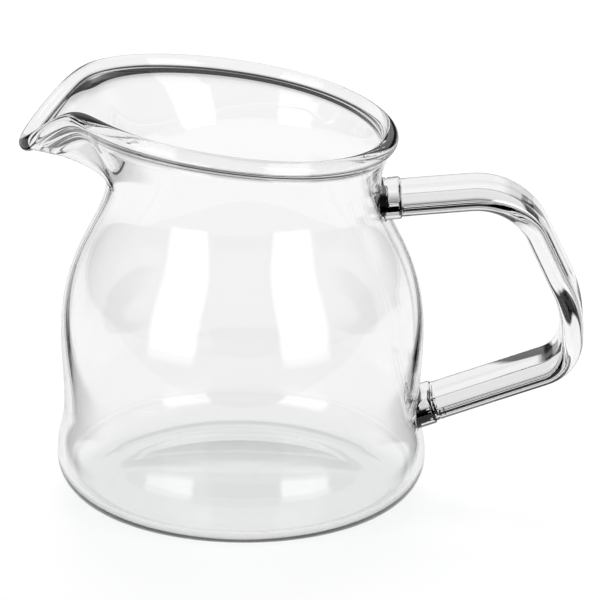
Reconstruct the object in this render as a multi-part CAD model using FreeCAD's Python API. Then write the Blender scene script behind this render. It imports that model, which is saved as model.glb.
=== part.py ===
import FreeCAD, Part
import math
import os

Vector = FreeCAD.Vector

# Milk jug, worked from borosilicate glass tube at the lamp and fused into one piece:
# a thin body, a fire polished rim with a pulled spout, and a strap handle on two pads.
# Millimetres, Z up, origin in the middle of the foot, spout to -X and handle to +X.

# Body, outside sizes from the table up
foot_radius = 44.0
foot_corner = 8.8
waist_radius = 42.4
waist_height = 21.5
bulge_radius = 43.2
bulge_height = 40.5
neck_radius = 32.6
neck_height = 77.5
side_fullness = 0.42
shoulder_fullness = 0.53
neck_tightness = 0.30

# Glass
wall = 2.0
floor_thickness = 2.6
punt_radius = 31.0
punt_rise = 0.8

# Rim, along the middle of its bead
rim_radius = 34.5
rim_rise = 15.9
rim_slope = 0.133
rim_flare = 17.0
bead_diameter = 3.9
collar_rise_share = 0.40
collar_flare_share = 0.35

# Spout, angles in degrees either side of its middle
spout_reach = 9.3
spout_dip = 13.6
spout_angle = 13.7
lip_swell = 7.5
lip_angle = 61.5
lip_squareness = 2.65
spout_floor_angle = 11.0
spout_tuck_angle = 24.0
throat_rise_share = 0.10
spout_floor_share = 0.53

# Handle, a flat strap along a path in the plane of the spout
strap_width = 16.0
strap_thickness = 5.6
strap_edge = 2.0
upper_pad_drop = 4.6
upper_corner_reach = 65.0
upper_corner_drop = 1.1
upper_corner_radius = 16.0
grip_bend_reach = 78.9
grip_bend_height = 47.0
grip_bend_radius = 27.0
lower_corner_reach = 77.6
lower_corner_height = 33.6
lower_corner_radius = 9.0
lower_pad_height = 19.4
upper_pad_length = 4.8
lower_pad_length = 4.0
pad_margin = 0.5
pad_edge = 0.7

# How finely the skin is drawn: columns round the axis, closer together at the spout,
# and rows as shares of the way up each stretch of the wall
columns = 40
spout_crowding = 0.58
foot_rows = (-0.3, -0.2, -0.1, 0, 0.15, 0.4, 0.7)
side_rows = (1, 1.5, 2, 2.5, 3, 3.25, 3.5, 3.75, 4)
collar_rows = (0.25, 0.5, 0.75, 1)
bead_turns = (-35, 0, 40, 75, 105, 140, 180, 215)
bead_clear_share = 0.72
small_step = 0.001
seam_gap = 0.01


def cubic(poles, t):
    """Point at t on the cubic curve with four poles, as (radius, height)."""
    s = 1 - t
    weights = (s ** 3, 3 * s * s * t, 3 * s * t * t, t ** 3)
    radius = sum(w * pole[0] for w, pole in zip(weights, poles))
    height = sum(w * pole[1] for w, pole in zip(weights, poles))
    return radius, height


def body_spans(inset):
    """Cubic spans from the foot to the neck, upright at each named height, set in from outside."""
    stations = [
        (foot_radius, foot_corner, side_fullness, side_fullness),
        (waist_radius, waist_height, side_fullness, side_fullness),
        (bulge_radius, bulge_height, shoulder_fullness, neck_tightness),
        (neck_radius, neck_height, None, None),
    ]
    spans = []
    for low, high in zip(stations, stations[1:]):
        rise = high[1] - low[1]
        spans.append((
            (low[0] - inset, low[1]),
            (low[0] - inset, low[1] + low[2] * rise),
            (high[0] - inset, high[1] - low[3] * rise),
            (high[0] - inset, high[1]),
        ))
    return spans


def bell(angle, width, power=2):
    """One at the middle of the spout, falling to nothing a few widths away."""
    from_spout = abs(math.remainder(angle, 2 * math.pi))
    return math.exp(-(from_spout / math.radians(width)) ** power)


def rim_point(angle):
    """Radius and height of the bead's middle, at an angle from the middle of the spout."""
    pulled = bell(angle, spout_angle)
    radius = rim_radius + lip_swell * bell(angle, lip_angle, lip_squareness) + spout_reach * pulled
    height = neck_height + rim_rise + rim_slope * radius * math.cos(angle) - spout_dip * pulled
    return radius, height


def collar_span(angle):
    """Cubic span from the neck to the rim, which lies down into the floor of the spout."""
    tuck = bell(angle, spout_tuck_angle)
    start = (neck_radius - wall / 2, neck_height)
    end = rim_point(angle)
    length = math.hypot(end[0] - start[0], end[1] - start[1])
    lean = math.radians(rim_flare + (90 - spout_floor_angle - rim_flare) * tuck)
    lower = (collar_rise_share + (throat_rise_share - collar_rise_share) * tuck) * length
    upper = (collar_flare_share + (spout_floor_share - collar_flare_share) * tuck) * length
    return (
        start,
        (start[0], start[1] + lower),
        (end[0] - upper * math.sin(lean), end[1] - upper * math.cos(lean)),
        end,
    )


def mid_wall(angle, level):
    """Point on the middle of the wall: level 0 to 1 is the foot's corner, 4 to 5 the collar."""
    span = min(int(level), 4)
    t = level - span
    if level < 0:
        radius = foot_radius - foot_corner + level * foot_corner
        height = wall / 2
    elif span == 0:
        turn = math.pi / 2 * (t - 1)
        arc = foot_corner - wall / 2
        radius = foot_radius - foot_corner + arc * math.cos(turn)
        height = foot_corner + arc * math.sin(turn)
    elif span < 4:
        radius, height = cubic(body_spans(wall / 2)[span - 1], t)
    else:
        radius, height = cubic(collar_span(angle), t)
    return Vector(-radius * math.cos(angle), radius * math.sin(angle), height)


def wall_frame(angle, level):
    """Middle of the wall, its outward normal, and the direction that climbs the wall."""
    here = mid_wall(angle, level)
    high = min(level + small_step, 5)
    low = high - 2 * small_step
    climb = mid_wall(angle, high) - mid_wall(angle, low)
    along = mid_wall(angle + small_step, level) - mid_wall(angle - small_step, level)
    normal = climb.cross(along).normalize()
    if level <= 0:
        normal = Vector(0, 0, -1)
    rise = along.cross(normal).normalize()
    return here, normal, rise


def wall_section(angle):
    """The closed wall at one angle, from the flat foot up, over the bead and down inside."""
    last, end = collar_span(angle)[2:]
    speed = 3 * math.hypot(end[0] - last[0], end[1] - last[1])
    collar = 1 - bead_clear_share * bead_diameter / speed
    levels = foot_rows + side_rows + tuple(4 + collar * share for share in collar_rows)
    outside = []
    inside = []
    for level in levels:
        here, normal, rise = wall_frame(angle, level)
        thicker = (floor_thickness - wall) * min(1, max(0, 1 - level)) ** 2
        outside.append(here + normal * (wall / 2))
        inside.append(here - normal * (wall / 2 + thicker))
    here, normal, rise = wall_frame(angle, 5)
    bead = []
    for turn in bead_turns:
        a = math.radians(turn)
        bead.append(here + (normal * math.cos(a) + rise * math.sin(a)) * (bead_diameter / 2))
    return outside + bead + inside[::-1]


def spaced(points):
    """Distances along a row of points, scaled to run from 0 to 1."""
    marks = [0.0]
    for a, b in zip(points, points[1:]):
        marks.append(marks[-1] + (b - a).Length)
    return [mark / marks[-1] for mark in marks]


def wall_skin():
    """The wall's faces: turned from the foot to the neck, outside and inside, and above the neck
    skinned through the section at every angle, in halves that meet in the plane of the spout."""
    steps = [2 * i / columns for i in range(columns + 1)]
    angles = [math.pi * u - spout_crowding * math.sin(math.pi * u) for u in steps]
    marks = spaced(wall_section(math.pi / 2))
    upright = []
    for angle in angles[:-1]:
        curve = Part.BSplineCurve()
        curve.interpolate(Points=wall_section(angle), Parameters=marks)
        upright.append(curve)
    rings = []
    for row in zip(*[curve.getPoles() for curve in upright]):
        ring = Part.BSplineCurve()
        ring.interpolate(Points=list(row), PeriodicFlag=True, Parameters=angles)
        rings.append(ring)
    surface = Part.BSplineSurface()
    surface.buildFromPolesMultsKnots(
        [ring.getPoles() for ring in rings],
        upright[0].getMultiplicities(), rings[0].getMultiplicities(),
        upright[0].getKnots(), rings[0].getKnots(),
        False, True, 3, 3)
    neck = len(foot_rows + side_rows) - 1
    lip = len(foot_rows + side_rows + collar_rows)
    cuts = [marks[neck], marks[lip], marks[-1 - lip], marks[-1 - neck]]
    faces = []
    for low, high in zip(cuts, cuts[1:]):
        for start in (0, math.pi):
            piece = surface.copy()
            piece.segment(low, high, start, start + math.pi)
            faces.append(piece.toShape())
    for low, high in ((0, cuts[0]), (cuts[-1], 1)):
        profile = upright[columns // 2].copy()
        profile.segment(low, high)
        for turn in (180, -180):
            faces.append(profile.toShape().revolve(Vector(0, 0, 0), Vector(0, 0, 1), turn))
    return faces


def cap(faces, height):
    """Flat face across the skin's open edge at a height."""
    edge_loop = []
    for edge in [edge for face in faces for edge in face.Edges]:
        box = edge.BoundBox
        if abs(box.ZMin - height) < small_step and abs(box.ZMax - height) < small_step:
            edge_loop.append(edge)
    return Part.Face(Part.Wire(Part.__sortEdges__(edge_loop)))


def body():
    """The skin closed by the floor inside and the ring underneath, with its shallow punt."""
    skin = wall_skin()
    faces = skin + [cap(skin, 0), cap(skin, floor_thickness)]
    joined = faces[0].generalFuse(faces[1:], seam_gap)[0]
    shell = Part.Shell(joined.Faces)
    shell.sewShape()
    glass = Part.Solid(shell)
    ball = (punt_radius ** 2 + punt_rise ** 2) / (2 * punt_rise)
    punt = Part.makeSphere(ball, Vector(0, 0, punt_rise - ball))
    return glass.cut(punt)


def rounded_path(points, radii):
    """Straight runs joined by tangent arcs, in the plane of the spout."""
    edges = []
    start = points[0]
    for i, radius in enumerate(radii):
        before, corner, after = points[i], points[i + 1], points[i + 2]
        back = (before - corner).normalize()
        ahead = (after - corner).normalize()
        half = back.getAngle(ahead) / 2
        cut = radius / math.tan(half)
        first = corner + back * cut
        last = corner + ahead * cut
        bisector = (back + ahead).normalize()
        middle = corner + bisector * (radius / math.sin(half) - radius)
        edges.append(Part.LineSegment(start, first).toShape())
        edges.append(Part.Arc(first, middle, last).toShape())
        start = last
    edges.append(Part.LineSegment(start, points[-1]).toShape())
    return Part.Wire(edges)


def strap_section(start, direction, margin):
    """Rounded rectangle across a direction, wide along Y."""
    half_width = strap_width / 2 + margin
    half_thickness = strap_thickness / 2 + margin
    edge = strap_edge + margin
    across = Vector(0, 1, 0)
    upward = direction.cross(across).normalize()

    def at(y, z):
        return start + across * y + upward * z

    edges = []
    for a, b in ((1, 1), (-1, 1), (-1, -1), (1, -1)):
        side = at(a * half_width, b * (half_thickness - edge))
        face = at(a * (half_width - edge), b * half_thickness)
        inset = edge * (1 - math.sqrt(0.5))
        middle = at(a * (half_width - inset), b * (half_thickness - inset))
        edges.append(Part.Arc(side, middle, face).toShape())
    for a in (1, -1):
        low = at(a * half_width, edge - half_thickness)
        edges.append(Part.LineSegment(low, at(a * half_width, half_thickness - edge)).toShape())
        left = at(edge - half_width, a * half_thickness)
        edges.append(Part.LineSegment(left, at(half_width - edge, a * half_thickness)).toShape())
    return Part.Wire(Part.__sortEdges__(edges))


def pad(start, direction, length):
    """The gather of glass that fuses an end of the strap to the wall."""
    block = Part.Face(strap_section(start, direction, pad_margin)).extrude(direction * length)
    far = start + direction * length
    rim = [e for e in block.Edges if abs((e.CenterOfMass - far).dot(direction)) < small_step]
    return block.makeFillet(pad_edge, rim)


def handle():
    """The strap with its two pads, before its ends are trimmed to the wall."""
    points = [
        Vector(neck_radius - 2 * wall, 0, neck_height - upper_pad_drop),
        Vector(upper_corner_reach, 0, neck_height - upper_corner_drop),
        Vector(grip_bend_reach, 0, grip_bend_height),
        Vector(lower_corner_reach, 0, lower_corner_height),
        Vector(waist_radius - 2 * wall, 0, lower_pad_height),
    ]
    path = rounded_path(points, [upper_corner_radius, grip_bend_radius, lower_corner_radius])
    first = (points[1] - points[0]).normalize()
    last = (points[3] - points[4]).normalize()
    strap = path.makePipeShell([strap_section(points[0], first, 0)], True, True)
    upper = pad(points[0], first, 2 * wall + upper_pad_length)
    lower = pad(points[4], last, 2 * wall + lower_pad_length)
    return strap.fuse([upper, lower])


def wall_core():
    """What lies inside the middle of the wall, up to the neck and a little beyond."""
    spans = body_spans(wall / 2)
    edges = []
    for poles in spans:
        curve = Part.BezierCurve()
        curve.setPoles([Vector(radius, 0, height) for radius, height in poles])
        edges.append(curve.toShape())
    top = Vector(neck_radius - wall / 2, 0, neck_height)
    above = top + Vector(0, 0, strap_thickness + 2 * pad_margin)
    foot = Vector(foot_radius - wall / 2, 0, foot_corner)
    corners = [top, above, Vector(0, 0, above.z), Vector(0, 0, foot.z), foot]
    for a, b in zip(corners, corners[1:]):
        edges.append(Part.LineSegment(a, b).toShape())
    outline = Part.Face(Part.Wire(Part.__sortEdges__(edges)))
    return outline.revolve(Vector(0, 0, 0), Vector(0, 0, 1), 360)


def glass_jug():
    """The whole jug as one solid."""
    grip = handle().cut(wall_core())
    return body().fuse(grip)


jug = glass_jug()
if len(jug.Solids) == 1:
    jug = jug.Solids[0]
os.makedirs("parts", exist_ok=True)
jug.exportStep("parts/glass_jug.step")
print("glass_jug", "valid", jug.isValid(), "solids", len(jug.Solids), "volume", round(jug.Volume, 1))
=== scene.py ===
import math

import bmesh
import bpy
import numpy as np
from mathutils import Matrix, Vector


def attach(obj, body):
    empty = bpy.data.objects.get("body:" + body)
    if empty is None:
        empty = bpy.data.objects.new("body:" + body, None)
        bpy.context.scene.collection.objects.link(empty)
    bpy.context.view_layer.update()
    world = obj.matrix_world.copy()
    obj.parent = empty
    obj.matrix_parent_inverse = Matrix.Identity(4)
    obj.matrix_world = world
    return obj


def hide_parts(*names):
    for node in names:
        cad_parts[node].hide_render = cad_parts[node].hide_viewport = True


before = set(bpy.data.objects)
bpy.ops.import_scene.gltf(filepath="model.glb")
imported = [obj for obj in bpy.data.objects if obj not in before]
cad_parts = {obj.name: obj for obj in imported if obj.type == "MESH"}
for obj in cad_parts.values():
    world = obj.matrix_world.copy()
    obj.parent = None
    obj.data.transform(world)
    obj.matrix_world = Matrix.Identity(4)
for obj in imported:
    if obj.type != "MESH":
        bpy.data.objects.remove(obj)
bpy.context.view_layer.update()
mm = 0.001

# The jug's own sizes, in millimetres, as the solid has them. Spout to -X, handle to +X.
jugShape = {
    "footRadius": 44.0, "footCorner": 8.8,
    "waist": (42.4, 21.5), "bulge": (43.2, 40.5), "neck": (32.6, 77.5),
    "sideFullness": 0.42, "shoulderFullness": 0.53, "neckTightness": 0.30,
    "wall": 2.0, "floorThickness": 2.6, "puntRadius": 31.0, "puntRise": 0.8,
    "rimRadius": 34.5, "rimHeight": 93.4, "rimSlope": 0.133, "rimFlare": 17.0,
    "beadDiameter": 3.9, "collarRise": 0.40, "collarFlare": 0.35,
    "spoutReach": 9.3, "spoutDip": 13.6, "spoutAngle": 13.7,
    "lipSwell": 7.5, "lipAngle": 61.5, "lipSquareness": 2.65,
    "spoutFloorAngle": 11.0, "spoutTuckAngle": 24.0,
    "spoutThroatRise": 0.10, "spoutFloorLength": 0.53,
    "heelMargin": 1.5, "puntEdge": 0.3,                # flat rings beside the heel and the hollow
    "spoutCrowding": 0.45,                             # columns stand closer at the spout
    "beadClearance": 0.78, "beadSweep": (-42, 222),    # where the wall's rows stop, and the bead's arc
    "columns": 240, "sideRows": 90, "collarRows": 34, "heelRows": 22, "floorRows": 14, "beadTurns": 26,
}


# 1 at the spout, fading to 0 round the rim; the width is in degrees
def bell(angle, width, power=2):
    fromSpout = abs(math.remainder(angle, 2 * math.pi))
    return math.exp(-(fromSpout / math.radians(width)) ** power)


# points on the cubic curve that four poles give
def cubic(poles, t):
    s = 1 - t
    weights = np.array([s ** 3, 3 * s * s * t, 3 * s * t * t, t ** 3])
    return weights.T @ np.array(poles)


# curves up the side, in the middle of the wall: heel to waist, to bulge, to neck
def sideSpans(shape):
    inset = shape["wall"] / 2
    fullness = [shape["sideFullness"], shape["sideFullness"], shape["shoulderFullness"]]
    tightness = [shape["sideFullness"], shape["sideFullness"], shape["neckTightness"]]
    stations = [(shape["footRadius"], shape["footCorner"]), shape["waist"], shape["bulge"], shape["neck"]]
    spans = []
    for i in range(3):
        (r0, z0), (r1, z1) = stations[i], stations[i + 1]
        rise = z1 - z0
        spans.append([(r0 - inset, z0), (r0 - inset, z0 + fullness[i] * rise),
                      (r1 - inset, z1 - tightness[i] * rise), (r1 - inset, z1)])
    return spans


# the collar's curve at one angle: it flares all round and tucks down into the spout's floor
def collarSpan(shape, angle):
    tuck = bell(angle, shape["spoutTuckAngle"])
    pulled = bell(angle, shape["spoutAngle"])
    radius = (shape["rimRadius"] + shape["lipSwell"] * bell(angle, shape["lipAngle"], shape["lipSquareness"])
              + shape["spoutReach"] * pulled)
    height = (shape["rimHeight"] + shape["rimSlope"] * radius * math.cos(angle)
              - shape["spoutDip"] * pulled)
    start = (shape["neck"][0] - shape["wall"] / 2, shape["neck"][1])
    length = math.hypot(radius - start[0], height - start[1])
    lean = math.radians(shape["rimFlare"] + (90 - shape["spoutFloorAngle"] - shape["rimFlare"]) * tuck)
    lower = (shape["collarRise"] + (shape["spoutThroatRise"] - shape["collarRise"]) * tuck) * length
    upper = (shape["collarFlare"] + (shape["spoutFloorLength"] - shape["collarFlare"]) * tuck) * length
    return [start, (start[0], start[1] + lower),
            (radius - upper * math.sin(lean), height - upper * math.cos(lean)), (radius, height)]


# rows of (radius, height) up the middle of the wall, from the heel to the bead
def midWall(shape, angle):
    arc = shape["footCorner"] - shape["wall"] / 2
    turns = np.linspace(-math.pi / 2, 0, shape["heelRows"], endpoint=False)
    heel = np.c_[shape["footRadius"] - shape["footCorner"] + arc * np.cos(turns),
                 shape["footCorner"] + arc * np.sin(turns)]
    climbs = np.linspace(0, 1, shape["sideRows"] // 3, endpoint=False)
    side = [cubic(span, climbs) for span in sideSpans(shape)]
    collar = cubic(collarSpan(shape, angle), np.linspace(0, 1, shape["collarRows"]))
    return np.vstack([heel, *side, collar])


# points[column][row] of the closed wall: outside up, round the bead, inside down
def wallGrid(shape):
    angles = np.arange(shape["columns"]) * 2 * math.pi / shape["columns"]
    angles = angles - shape["spoutCrowding"] * np.sin(angles)
    mid = np.array([midWall(shape, a) for a in angles])
    radius, height = mid[:, :, 0], mid[:, :, 1]
    points = np.stack([-radius * np.cos(angles)[:, None], radius * np.sin(angles)[:, None], height], axis=2)
    climb = np.gradient(points, axis=1)
    along = np.roll(points, -1, axis=0) - np.roll(points, 1, axis=0)
    normal = np.cross(climb, along)
    normal /= np.linalg.norm(normal, axis=2, keepdims=True)
    normal[:, 0] = (0, 0, -1)                          # the heel leaves the foot's flat
    rise = np.cross(along, normal)
    rise /= np.linalg.norm(rise, axis=2, keepdims=True)
    half = shape["wall"] / 2
    nearFloor = np.clip(1 - np.arange(points.shape[1]) / shape["heelRows"], 0, 1)
    thicker = (shape["floorThickness"] - shape["wall"]) * nearFloor ** 2
    outside = points + normal * half
    inside = points - normal * (half + thicker)[None, :, None]
    middle = points[:, -1:]
    clear = np.linalg.norm(points - middle, axis=2) > shape["beadClearance"] * shape["beadDiameter"]
    keep = int(clear.all(axis=0).sum())
    turns = np.radians(np.linspace(*shape["beadSweep"], shape["beadTurns"]))[None, :, None]
    spokes = normal[:, -1:] * np.cos(turns) + rise[:, -1:] * np.sin(turns)
    bead = middle + shape["beadDiameter"] / 2 * spokes
    return np.concatenate([outside[:, :keep], bead, inside[:, keep - 1::-1]], axis=1), angles


# rings from the wall's first row to the axis, under the foot and on the floor inside
def discRings(shape, angles):
    flat = shape["footRadius"] - shape["footCorner"]
    ball = (shape["puntRadius"] ** 2 + shape["puntRise"] ** 2) / (2 * shape["puntRise"])
    under, upper = [], []
    steps = np.linspace(0, 1, shape["floorRows"] + 1)[1:-1]
    edge = flat - shape["heelMargin"]
    punt = shape["puntRadius"]
    for r in [edge, punt + shape["puntEdge"], punt] + list(punt * (1 - steps)):
        z = 0 if r >= punt else math.sqrt(ball ** 2 - r ** 2) - (ball - shape["puntRise"])
        under.append(np.c_[-r * np.cos(angles), r * np.sin(angles), np.full_like(angles, z)])
    for r in [edge] + list(edge * (1 - steps)):
        level = np.full_like(angles, shape["floorThickness"])
        upper.append(np.c_[-r * np.cos(angles), r * np.sin(angles), level])
    return under, upper


# one closed mesh: under the foot, up outside, round the bead, down inside, over the floor
def jugBody(shape):
    grid, angles = wallGrid(shape)
    under, upper = discRings(shape, angles)
    rings = under[::-1] + [grid[:, i] for i in range(grid.shape[1])] + upper
    count = len(angles)
    verts = np.vstack(rings) * mm
    faces = []
    for i in range(len(rings) - 1):
        for j in range(count):
            k = (j + 1) % count
            faces.append((i * count + j, (i + 1) * count + j, (i + 1) * count + k, i * count + k))
    middleUnder = len(verts)
    topUnder = shape["puntRise"] * mm
    verts = np.vstack([verts, [(0, 0, topUnder), (0, 0, shape["floorThickness"] * mm)]])
    last = (len(rings) - 1) * count
    for j in range(count):
        k = (j + 1) % count
        faces.append((middleUnder, j, k))
        faces.append((middleUnder + 1, last + k, last + j))
    return meshObject("jugBody", verts, faces)


def meshObject(name, verts, faces):
    mesh = bpy.data.meshes.new(name)
    mesh.from_pydata([tuple(v) for v in verts], [], faces)
    bm = bmesh.new()
    bm.from_mesh(mesh)
    bmesh.ops.recalc_face_normals(bm, faces=bm.faces)
    bm.to_mesh(mesh)
    bm.free()
    mesh.shade_smooth()
    thing = bpy.data.objects.new(name, mesh)
    bpy.context.scene.collection.objects.link(thing)
    return thing


# in millimetres; the path is the strap's middle line before its corners are rounded, as (x, z)
strapShape = {
    "width": 16.0, "thickness": 5.6, "edge": 2.7,
    "path": [(28.6, 72.9), (65.0, 76.4), (78.9, 47.0), (77.6, 33.6), (38.4, 19.4)],
    "radii": [16.0, 27.0, 9.0],
    "padMargin": 0.5, "padBevel": 0.7, "padStations": (0, 0.3, 0.6, 1),
    "upperPadLength": 4.8, "lowerPadLength": 4.0,
    "edgeSteps": 12, "bendSteps": 26, "aroundCount": 112, "alongStep": 0.9,
}


# straight arms with round corners
def roundedPath(shape):
    points = [Vector((x, 0, z)) for x, z in shape["path"]]
    line = [points[0]]
    for i, radius in enumerate(shape["radii"]):
        before, corner, after = points[i:i + 3]
        back, ahead = (before - corner).normalized(), (after - corner).normalized()
        half = back.angle(ahead) / 2
        centre = corner + (back + ahead).normalized() * (radius / math.sin(half))
        first = corner + back * (radius / math.tan(half))
        last = corner + ahead * (radius / math.tan(half))
        start, end = first - centre, last - centre
        turn = start.angle(end)
        for k in range(shape["bendSteps"] + 1):
            share = k / shape["bendSteps"]
            swing = (start * math.sin((1 - share) * turn) + end * math.sin(share * turn)) / math.sin(turn)
            line.append(centre + swing)
    line.append(points[-1])
    return line


# Geometry Nodes: a rounded bar swept along the curve it is put on
def sweepTree():
    tree = bpy.data.node_groups.new("sweptStrap", "GeometryNodeTree")
    face = tree.interface
    face.new_socket("Path", in_out="INPUT", socket_type="NodeSocketGeometry")
    for name in ("Width", "Thickness", "Edge Radius"):
        face.new_socket(name, in_out="INPUT", socket_type="NodeSocketFloat")
    face.new_socket("Along Step", in_out="INPUT", socket_type="NodeSocketFloat")
    for name in ("Edge Steps", "Around Count"):
        face.new_socket(name, in_out="INPUT", socket_type="NodeSocketInt")
    face.new_socket("Glass", in_out="INPUT", socket_type="NodeSocketMaterial")
    face.new_socket("Mesh", in_out="OUTPUT", socket_type="NodeSocketGeometry")
    nodes, links = tree.nodes, tree.links
    come, go = nodes.new("NodeGroupInput"), nodes.new("NodeGroupOutput")
    bar = nodes.new("GeometryNodeCurvePrimitiveQuadrilateral")
    fillet = nodes.new("GeometryNodeFilletCurve")
    fillet.mode = "POLY"
    around, along = nodes.new("GeometryNodeResampleCurve"), nodes.new("GeometryNodeResampleCurve")
    along.mode = "LENGTH"
    sweep = nodes.new("GeometryNodeCurveToMesh")
    sweep.inputs["Fill Caps"].default_value = True
    real = nodes.new("GeometryNodeRealizeInstances")
    paint = nodes.new("GeometryNodeSetMaterial")
    links.new(come.outputs["Width"], bar.inputs["Width"])
    links.new(come.outputs["Thickness"], bar.inputs["Height"])
    links.new(bar.outputs["Curve"], fillet.inputs["Curve"])
    links.new(come.outputs["Edge Radius"], fillet.inputs["Radius"])
    links.new(come.outputs["Edge Steps"], fillet.inputs["Count"])
    links.new(fillet.outputs["Curve"], around.inputs["Curve"])
    links.new(come.outputs["Around Count"], around.inputs["Count"])
    links.new(come.outputs["Path"], along.inputs["Curve"])
    links.new(come.outputs["Along Step"], along.inputs["Length"])
    links.new(along.outputs["Curve"], sweep.inputs["Curve"])
    links.new(around.outputs["Curve"], sweep.inputs["Profile Curve"])
    links.new(sweep.outputs["Mesh"], real.inputs["Geometry"])
    links.new(real.outputs["Geometry"], paint.inputs["Geometry"])
    links.new(come.outputs["Glass"], paint.inputs["Material"])
    links.new(paint.outputs["Geometry"], go.inputs["Mesh"])
    return tree


# a plain mesh of the tree's result along a row of points
def swept(name, line, tree, values):
    curve = bpy.data.curves.new(name, "CURVE")
    curve.dimensions = "3D"
    spline = curve.splines.new("POLY")
    spline.points.add(len(line) - 1)
    for spot, point in zip(spline.points, line):
        spot.co = (*(point * mm), 1)
    thing = bpy.data.objects.new(name + "Path", curve)
    bpy.context.scene.collection.objects.link(thing)
    modifier = thing.modifiers.new("sweep", "NODES")
    modifier.node_group = tree
    for item in tree.interface.items_tree:
        if item.item_type == "SOCKET" and item.name in values:
            modifier[item.identifier] = values[item.name]
    seen = thing.evaluated_get(bpy.context.evaluated_depsgraph_get())
    mesh = bpy.data.meshes.new_from_object(seen)
    bpy.data.objects.remove(thing)
    bm = bmesh.new()
    bm.from_mesh(mesh)
    bmesh.ops.remove_doubles(bm, verts=bm.verts, dist=1e-6)
    bmesh.ops.recalc_face_normals(bm, faces=bm.faces)
    bm.to_mesh(mesh)
    bm.free()
    made = bpy.data.objects.new(name, mesh)
    bpy.context.scene.collection.objects.link(made)
    return made


# the strap and a pad at each end of it, where it meets the wall
def handlePieces(glass):
    shape = strapShape
    tree = sweepTree()
    line = roundedPath(shape)
    sizes = {"Width": shape["width"] * mm, "Thickness": shape["thickness"] * mm,
             "Edge Radius": shape["edge"] * mm, "Edge Steps": shape["edgeSteps"],
             "Around Count": shape["aroundCount"], "Along Step": shape["alongStep"] * mm, "Glass": glass}
    strap = swept("strap", line, tree, sizes)
    padSizes = dict(sizes)
    padSizes["Width"] += 2 * shape["padMargin"] * mm
    padSizes["Thickness"] += 2 * shape["padMargin"] * mm
    padSizes["Edge Radius"] += shape["padMargin"] * mm
    ends = [(line[0], line[1], 2 * jugShape["wall"] + shape["upperPadLength"]),
            (line[-1], line[-2], 2 * jugShape["wall"] + shape["lowerPadLength"])]
    pads = []
    for i, (start, onward, length) in enumerate(ends):
        ahead = (onward - start).normalized()
        run = [start + ahead * length * share for share in shape["padStations"]]
        pad = swept("pad%d" % i, run, tree, padSizes)
        softenEnd(pad, start + ahead * length, ahead)
        pads.append(pad)
    return [strap] + pads


# a small bevel round the pad's outer end
def softenEnd(pad, end, ahead):
    onFace = 0.01 * mm
    bm = bmesh.new()
    bm.from_mesh(pad.data)
    rim = [e for e in bm.edges if all(abs((v.co - end * mm).dot(ahead)) < onFace for v in e.verts)]
    bmesh.ops.bevel(bm, geom=rim, offset=strapShape["padBevel"] * mm, segments=3, affect="EDGES", profile=0.5)
    bm.to_mesh(pad.data)
    bm.free()


# ends of the handle that reach inside the wall's middle are laid on it
def pressToWall(thing, shape):
    climbs = np.linspace(0, 1, 40)
    radii, heights = np.vstack([cubic(span, climbs) for span in sideSpans(shape)]).T
    for v in thing.data.vertices:
        x, y, z = (c / mm for c in v.co)
        middle = np.interp(z, heights, radii)
        if math.hypot(x, y) < middle:
            v.co.x = math.sqrt(middle ** 2 - y ** 2) * mm


# boolean union, applied
def fuse(base, others):
    for other in others:
        modifier = base.modifiers.new("fuse", "BOOLEAN")
        modifier.operation = "UNION"
        modifier.solver = "EXACT"
        modifier.object = other
    seen = base.evaluated_get(bpy.context.evaluated_depsgraph_get())
    mesh = bpy.data.meshes.new_from_object(seen)
    base.modifiers.clear()
    base.data = mesh
    for other in others:
        bpy.data.objects.remove(other)
    return base


glassFinish = {
    "colour": (1, 1, 1), "ior": 1.47, "depthTint": (0.30, 0.38, 0.36), "depth": 3,
    "waviness": 0.02, "waveHeight": 0.001, "waveScale": 60, "waveDetail": 1,
    "shadow": (0.88, 0.89, 0.89),                      # what one face lets through to the floor
}


def glassMaterial():
    material = bpy.data.materials.new("clearGlass")
    material.use_nodes = True
    nodes, links = material.node_tree.nodes, material.node_tree.links
    nodes.clear()
    out = nodes.new("ShaderNodeOutputMaterial")
    glass = nodes.new("ShaderNodeBsdfPrincipled")
    glass.inputs["Base Color"].default_value = (*glassFinish["colour"], 1)
    glass.inputs["Metallic"].default_value = 0
    glass.inputs["Roughness"].default_value = 0
    glass.inputs["IOR"].default_value = glassFinish["ior"]
    glass.inputs["Transmission Weight"].default_value = 1
    where = nodes.new("ShaderNodeTexCoord")
    waves = nodes.new("ShaderNodeTexNoise")
    waves.inputs["Scale"].default_value = glassFinish["waveScale"]
    waves.inputs["Detail"].default_value = glassFinish["waveDetail"]
    bump = nodes.new("ShaderNodeBump")
    bump.inputs["Strength"].default_value = glassFinish["waviness"]
    bump.inputs["Distance"].default_value = glassFinish["waveHeight"]
    links.new(where.outputs["Object"], waves.inputs["Vector"])
    links.new(waves.outputs["Fac"], bump.inputs["Height"])
    links.new(bump.outputs["Normal"], glass.inputs["Normal"])
    clear = nodes.new("ShaderNodeBsdfTransparent")
    clear.inputs["Color"].default_value = (*glassFinish["shadow"], 1)
    path = nodes.new("ShaderNodeLightPath")
    mix = nodes.new("ShaderNodeMixShader")
    links.new(path.outputs["Is Shadow Ray"], mix.inputs["Fac"])
    links.new(glass.outputs["BSDF"], mix.inputs[1])
    links.new(clear.outputs["BSDF"], mix.inputs[2])
    links.new(mix.outputs["Shader"], out.inputs["Surface"])
    depth = nodes.new("ShaderNodeVolumeAbsorption")
    depth.inputs["Color"].default_value = (*glassFinish["depthTint"], 1)
    depth.inputs["Density"].default_value = glassFinish["depth"]
    links.new(depth.outputs["Volume"], out.inputs["Volume"])
    return material


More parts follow.
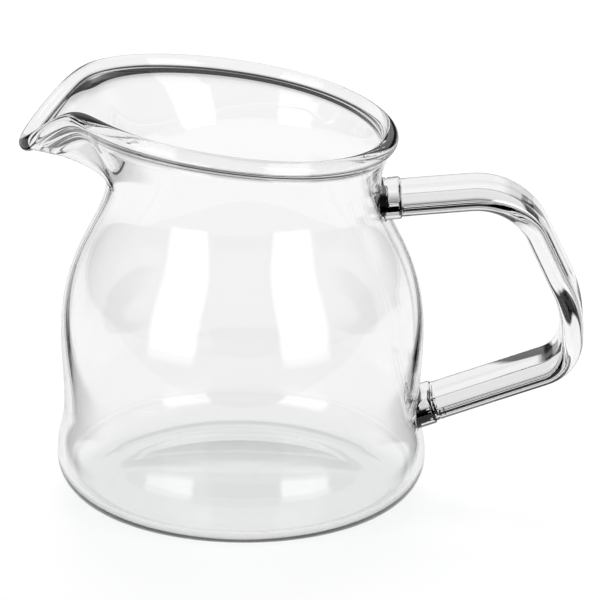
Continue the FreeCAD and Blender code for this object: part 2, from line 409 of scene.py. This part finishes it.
glass = glassMaterial()
jug = jugBody(jugShape)
print("body", len(jug.data.vertices), "points")
parts = handlePieces(glass)
for part in parts:
    pressToWall(part, jugShape)
print("handle", [len(part.data.vertices) for part in parts])
jug = fuse(jug, parts)
jug.data.materials.clear()
jug.data.materials.append(glass)
jug.data.shade_smooth()
for face in jug.data.polygons:
    face.material_index = 0
print("jug", len(jug.data.polygons), "faces")
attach(jug, "root")
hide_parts("glass_jug")


# the photograph's camera; focal length and offset in pixels, one pixel in metres at the jug
view = {
    "elevation": 20.5, "roll": 0.71, "focal": 8000, "offset": (-59.1, 184.6), "pixel": 0.00024, "frame": 600,
    "sensor": 36, "clip": (0.05, 50),
}


def placeCamera():
    e, roll = math.radians(view["elevation"]), math.radians(view["roll"])
    level = Matrix(((1, 0, 0), (0, -math.sin(e), -math.cos(e)), (0, math.cos(e), -math.sin(e))))
    tilt = Matrix(((math.cos(roll), -math.sin(roll), 0), (math.sin(roll), math.cos(roll), 0), (0, 0, 1)))
    turn = tilt @ level
    far = Vector((*view["offset"], view["focal"])) * view["pixel"]
    camera = bpy.data.objects.new("camera", bpy.data.cameras.new("camera"))
    bpy.context.scene.collection.objects.link(camera)
    camera.data.sensor_width = view["sensor"]
    camera.data.lens = view["focal"] / view["frame"] * view["sensor"]
    axes = Matrix((turn[0], -turn[1], -turn[2])).transposed().to_4x4()
    camera.matrix_world = Matrix.Translation(-(turn.transposed() @ far)) @ axes
    camera.data.clip_start, camera.data.clip_end = view["clip"]
    bpy.context.scene.camera = camera


# in metres, degrees from the camera's side, and plain light levels
studio = {
    # the floor and its front part: left, right, near, far
    "floor": (-1.5, 1.5, -0.12, 2.5), "floorFront": (-1.5, 1.5, -1.5, -0.12), "floorDrop": 0.0001,
    "glow": 0.645, "glowInGlass": 0.52, "frontInGlass": 0.50, "paint": 0.32,
    # what the glass sees of the floor: white, with a painted dark strip along each side, painted shade that
    # draws the glass's dark edge lines; behind the jug the strips are splayed out, and their middle drifts to
    # the spout's side
    "beside": [(0.0, 1.0), (0.064, 1.0), (0.067, 0.01), (0.089, 0.01), (0.095, 1.0), (0.2, 1.0)],
    "splay": 0.20, "drift": 0.07, "paintedStripStart": (-0.02, 0.01),
    # what it sees of the room: from front to back, and times a level from the floor upwards
    "room": [(0.0, 0.19), (0.40, 0.19), (0.60, 0.19), (0.80, 0.80), (1.0, 0.88)],
    "roomHeight": [(0.0, 0.05), (0.20, 0.05), (0.26, 1.0), (0.65, 1.0), (0.75, 0.5), (1.0, 0.5)],
    "aim": (0, 0, 0.05),
    "softboxes": [(-44, 0.60, 0.20), (40, 0.60, 0.20)],          # azimuth, distance, height
    "boxSize": (0.40, 0.58), "boxLevel": 2.5, "boxEdge": 0.25,
    "lampRise": 0.35, "lampPower": 1.5,
    "above": (0.0, 0.45, 0.75), "aboveSize": (0.5, 0.3), "abovePower": 7.0,
}


# 1 where the ray is one of the named kinds
def seenBy(nodes, links, *kinds):
    path = nodes.new("ShaderNodeLightPath")
    total = path.outputs[kinds[0]]
    for kind in kinds[1:]:
        either = nodes.new("ShaderNodeMath")
        either.operation = "MAXIMUM"
        links.new(total, either.inputs[0])
        links.new(path.outputs[kind], either.inputs[1])
        total = either.outputs[0]
    return total


def product(nodes, links, first, second):
    times = nodes.new("ShaderNodeMath")
    times.operation = "MULTIPLY"
    for socket, value in zip(times.inputs, (first, second)):
        if isinstance(value, (int, float)):
            socket.default_value = value
        else:
            links.new(value, socket)
    return times.outputs[0]


white = (1, 1, 1, 1)


# a colour between two; each part is a plain value or a socket
def mixed(nodes, links, factor, first, second, blend="MIX"):
    mix = nodes.new("ShaderNodeMix")
    mix.data_type = "RGBA"
    mix.blend_type = blend
    sockets = {socket.identifier: socket for socket in mix.inputs}
    for name, value in (("Factor_Float", factor), ("A_Color", first), ("B_Color", second)):
        if isinstance(value, bpy.types.NodeSocket):
            links.new(value, sockets[name])
        else:
            sockets[name].default_value = value
    return next(socket for socket in mix.outputs if socket.identifier == "Result_Color")


# grey steps along a line, given as (place, level)
def rampOf(nodes, stops):
    ramp = nodes.new("ShaderNodeValToRGB")
    points = ramp.color_ramp.elements
    while len(points) < len(stops):
        points.new(0.5)
    for point, (place, level) in zip(points, stops):
        point.position = place / stops[-1][0]
        point.color = (level, level, level, 1)
    return ramp


# white to the camera; to the glass it shows painted dark strips on both sides, painted shade for the glass's
# dark edge lines; its paint takes the shadow
def floorMaterial(name, inGlassLevel):
    material = bpy.data.materials.new(name)
    material.use_nodes = True
    nodes, links = material.node_tree.nodes, material.node_tree.links
    nodes.clear()
    out = nodes.new("ShaderNodeOutputMaterial")
    where, split = nodes.new("ShaderNodeTexCoord"), nodes.new("ShaderNodeSeparateXYZ")
    links.new(where.outputs["Object"], split.inputs[0])
    aside, behind, reach = (nodes.new("ShaderNodeMath") for i in range(3))
    aside.operation, behind.operation, reach.operation = "ABSOLUTE", "MAXIMUM", "SUBTRACT"
    links.new(split.outputs["Y"], behind.inputs[0])
    behind.inputs[1].default_value = 0
    across = nodes.new("ShaderNodeMath")
    links.new(split.outputs["X"], across.inputs[0])
    links.new(product(nodes, links, behind.outputs[0], studio["drift"]), across.inputs[1])
    links.new(across.outputs[0], aside.inputs[0])
    links.new(aside.outputs[0], reach.inputs[0])
    links.new(product(nodes, links, behind.outputs[0], studio["splay"]), reach.inputs[1])
    ramp = rampOf(nodes, studio["beside"])
    links.new(product(nodes, links, reach.outputs[0], 1 / studio["beside"][-1][0]), ramp.inputs["Fac"])
    # the painted dark strips start beside the jug and run backwards only
    begin = nodes.new("ShaderNodeMapRange")
    begin.inputs["From Min"].default_value, begin.inputs["From Max"].default_value = studio["paintedStripStart"]
    links.new(split.outputs["Y"], begin.inputs["Value"])
    paintedStrips = mixed(nodes, links, begin.outputs["Result"], white, ramp.outputs["Color"])
    inGlass = seenBy(nodes, links, "Is Glossy Ray", "Is Transmission Ray")
    toCamera = seenBy(nodes, links, "Is Camera Ray")
    levels = nodes.new("ShaderNodeMath")
    levels.operation = "ADD"
    inside = product(nodes, links, inGlass, paintedStrips)
    links.new(product(nodes, links, inside, inGlassLevel), levels.inputs[0])
    links.new(product(nodes, links, toCamera, studio["glow"]), levels.inputs[1])
    glow = nodes.new("ShaderNodeEmission")
    links.new(levels.outputs[0], glow.inputs["Strength"])
    plain = nodes.new("ShaderNodeBsdfDiffuse")
    paint = (*(studio["paint"],) * 3, 1)
    # to the glass the paint is darkened by the same painted dark strips
    seen = mixed(nodes, links, inGlass, white, paintedStrips)
    links.new(mixed(nodes, links, 1, paint, seen, "MULTIPLY"), plain.inputs["Color"])
    add = nodes.new("ShaderNodeAddShader")
    links.new(glow.outputs[0], add.inputs[0])
    links.new(plain.outputs[0], add.inputs[1])
    links.new(add.outputs[0], out.inputs["Surface"])
    return material


def flatPiece(name, corners, material):
    mesh = bpy.data.meshes.new(name)
    mesh.from_pydata(corners, [], [(0, 1, 2, 3)])
    piece = bpy.data.objects.new(name, mesh)
    piece.data.materials.append(material)
    bpy.context.scene.collection.objects.link(piece)
    return piece


# the floor, and its front part, which stays out of reflections so that they show the low softboxes
def buildFloor():
    z = -studio["floorDrop"]
    for name, level in (("floor", "glowInGlass"), ("floorFront", "frontInGlass")):
        left, right, near, far = studio[name]
        corners = [(left, near, z), (right, near, z), (right, far, z), (left, far, z)]
        piece = flatPiece(name, corners, floorMaterial(name, studio[level]))
        piece.visible_glossy = name == "floor"


# light that fades towards the card's edges
def cardMaterial(name, size, level, edge):
    material = bpy.data.materials.new(name)
    material.use_nodes = True
    nodes, links = material.node_tree.nodes, material.node_tree.links
    nodes.clear()
    out = nodes.new("ShaderNodeOutputMaterial")
    glow = nodes.new("ShaderNodeEmission")
    where, split = nodes.new("ShaderNodeTexCoord"), nodes.new("ShaderNodeSeparateXYZ")
    links.new(where.outputs["Object"], split.inputs[0])
    strength = level
    for axis, length in zip("XY", size):
        away = nodes.new("ShaderNodeMath")
        away.operation = "ABSOLUTE"
        links.new(split.outputs[axis], away.inputs[0])
        fade = nodes.new("ShaderNodeMapRange")
        fade.interpolation_type = "SMOOTHSTEP"
        fade.inputs["From Min"].default_value = length / 2 * (1 - edge)
        fade.inputs["From Max"].default_value = length / 2
        fade.inputs["To Min"].default_value = 1
        fade.inputs["To Max"].default_value = 0
        links.new(away.outputs[0], fade.inputs["Value"])
        strength = product(nodes, links, fade.outputs["Result"], strength)
    links.new(strength, glow.inputs["Strength"])
    links.new(glow.outputs[0], out.inputs["Surface"])
    return material


# turned so that its face looks at the jug
def faceJug(thing, place):
    thing.location = place
    thing.rotation_euler = (Vector(studio["aim"]) - place).to_track_quat("-Z", "Y").to_euler()


# a bright card that only the glass sees
def hangCard(name, place, size, level, edge):
    w, h = size[0] / 2, size[1] / 2
    corners = [(-w, -h, 0), (w, -h, 0), (w, h, 0), (-w, h, 0)]
    card = flatPiece(name, corners, cardMaterial(name, size, level, edge))
    faceJug(card, place)
    card.visible_camera = card.visible_diffuse = card.visible_shadow = False


# light for the floor's shadow, not seen in the glass
def hangLamp(name, place, size, power):
    lamp = bpy.data.lights.new(name, "AREA")
    lamp.shape = "RECTANGLE"
    lamp.size, lamp.size_y = size
    lamp.energy = power
    holder = bpy.data.objects.new(name, lamp)
    faceJug(holder, place)
    holder.visible_glossy = holder.visible_transmission = holder.visible_camera = False
    bpy.context.scene.collection.objects.link(holder)


def lightRoom():
    for i, (azimuth, far, height) in enumerate(studio["softboxes"]):
        turn = math.radians(azimuth)
        place = Vector((math.sin(turn) * far, -math.cos(turn) * far, height))
        hangCard("softbox%d" % i, place, studio["boxSize"], studio["boxLevel"], studio["boxEdge"])
        above = place + Vector((0, 0, studio["lampRise"]))
        hangLamp("lamp%d" % i, above, studio["boxSize"], studio["lampPower"])
    hangLamp("lampAbove", Vector(studio["above"]), studio["aboveSize"], studio["abovePower"])


# white to the camera; in the glass dim in front and bright behind
def buildRoom():
    world = bpy.data.worlds.new("room")
    bpy.context.scene.world = world
    world.use_nodes = True
    nodes, links = world.node_tree.nodes, world.node_tree.links
    nodes.clear()
    out = nodes.new("ShaderNodeOutputWorld")
    back = nodes.new("ShaderNodeBackground")
    where, split = nodes.new("ShaderNodeTexCoord"), nodes.new("ShaderNodeSeparateXYZ")
    links.new(where.outputs["Generated"], split.inputs[0])
    depth = nodes.new("ShaderNodeMapRange")
    depth.inputs["From Min"].default_value = -1
    links.new(split.outputs["Y"], depth.inputs["Value"])
    ramp = rampOf(nodes, studio["room"])
    links.new(depth.outputs["Result"], ramp.inputs["Fac"])
    upward = rampOf(nodes, studio["roomHeight"])
    links.new(split.outputs["Z"], upward.inputs["Fac"])
    level = product(nodes, links, ramp.outputs["Color"], upward.outputs["Color"])
    toCamera = seenBy(nodes, links, "Is Camera Ray")
    links.new(mixed(nodes, links, toCamera, level, white), back.inputs["Color"])
    links.new(back.outputs[0], out.inputs["Surface"])


placeCamera()
buildFloor()
buildRoom()
lightRoom()
bpy.context.scene.view_settings.view_transform = "Standard"
print("studio")
